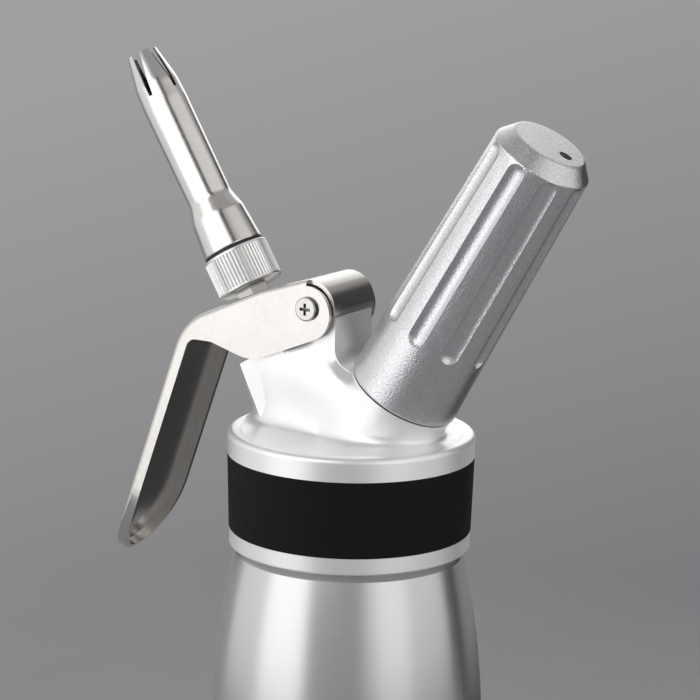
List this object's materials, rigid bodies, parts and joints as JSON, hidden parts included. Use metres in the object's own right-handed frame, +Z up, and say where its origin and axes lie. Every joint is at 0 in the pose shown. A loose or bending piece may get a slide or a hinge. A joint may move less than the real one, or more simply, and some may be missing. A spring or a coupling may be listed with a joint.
{
  "type": "whipped cream dispenser",
  "caption": "Whipped cream dispenser: steel bottle, screw-on cast head with squeeze lever, slanted nozzle and gas charger holder.",
  "frame": {"origin": "centre of the bottle's base, on the surface it stands on", "axes": "+Z up along the bottle, +X towards the charger holder, -X towards the nozzle and lever"},
  "size_m": [0.1565, 0.082, 0.2904],
  "materials": {
    "brushed_steel": "brushed stainless steel",
    "polished_steel": "polished stainless steel",
    "bright_steel": "knurled bright stainless steel",
    "spring_steel": "drawn stainless wire",
    "charger_steel": "zinc plated",
    "satin_aluminium": "satin",
    "blasted_aluminium": "bead blasted",
    "black_silicone": "matte silicone",
    "clear_silicone": "translucent silicone",
    "brass": "turned",
    "nylon": "plain nylon"
  },
  "bodies": {
    "bottle": {"bottle": "brushed_steel"},
    "gasket": {"head_gasket": "clear_silicone"},
    "head": {"head_casting": "satin_aluminium", "grip_band": "black_silicone", "gland_nut": "polished_steel", "stem_o_ring": "black_silicone", "return_spring": "spring_steel", "holder_seal": "black_silicone", "pin_holder": "brass", "piercing_pin": "spring_steel", "charger_gasket": "clear_silicone", "check_valve_flap": "clear_silicone", "check_valve_nut": "brass", "pivot_bush": "nylon", "pivot_pin": "polished_steel", "pivot_screw": "polished_steel", "washer_near": "nylon", "washer_far": "nylon"},
    "lever": {"lever": "polished_steel"},
    "piston": {"piston": "polished_steel", "valve_seal": "black_silicone", "spring_cap": "polished_steel", "hex_neck": "polished_steel"},
    "nozzle_ring": {"nozzle_seal": "black_silicone"},
    "nozzle": {"adapter_collar": "bright_steel", "decorator_nozzle": "polished_steel"},
    "charger": {"gas_charger": "charger_steel"},
    "holder": {"charger_holder": "blasted_aluminium"}
  },
  "joints": [
    {"name": "head_lift", "type": "slide", "parent": "bottle", "child": "gasket", "axis": [0, 0, 1], "range_m": [0, 0.008]},
    {"name": "head_turn", "type": "hinge", "parent": "gasket", "child": "head", "pos_m": [0, 0, 0], "axis": [0, 0, 1], "range_deg": [0, 720]},
    {"name": "lever_press", "type": "hinge", "parent": "head", "child": "lever", "pos_m": [-0.008, 0, 0.2198], "axis": [0, -1, 0], "range_deg": [0, 10]},
    {"name": "piston_slide", "type": "slide", "parent": "head", "child": "piston", "axis": [0.5225, 0, -0.8526], "range_m": [0, 0.0036], "stiffness_N_per_m": 3000, "springref_m": -0.0083, "deforming": ["return_spring"]},
    {"name": "nozzle_lift", "type": "slide", "parent": "piston", "child": "nozzle_ring", "axis": [-0.5225, 0, 0.8526], "range_m": [0, 0.004]},
    {"name": "nozzle_turn", "type": "hinge", "parent": "nozzle_ring", "child": "nozzle", "pos_m": [-0.0257, 0, 0.2042], "axis": [-0.5225, 0, 0.8526], "range_deg": [0, 1440]},
    {"name": "charger_lift", "type": "slide", "parent": "head", "child": "charger", "axis": [0.5105, 0, 0.8599], "range_m": [0, 0.012]},
    {"name": "holder_turn", "type": "hinge", "parent": "charger", "child": "holder", "pos_m": [0.0177, 0, 0.1969], "axis": [0.5105, 0, 0.8599], "range_deg": [0, 2160]}
  ],
  "couplings": [
    {"joint": "head_turn", "follows": "head_lift", "rad_per_m": 1570.8},
    {"joint": "lever_press", "follows": "piston_slide", "rad_per_m": 48.481},
    {"joint": "nozzle_turn", "follows": "nozzle_lift", "rad_per_m": 6283.2},
    {"joint": "holder_turn", "follows": "charger_lift", "rad_per_m": 3141.6}
  ]
}
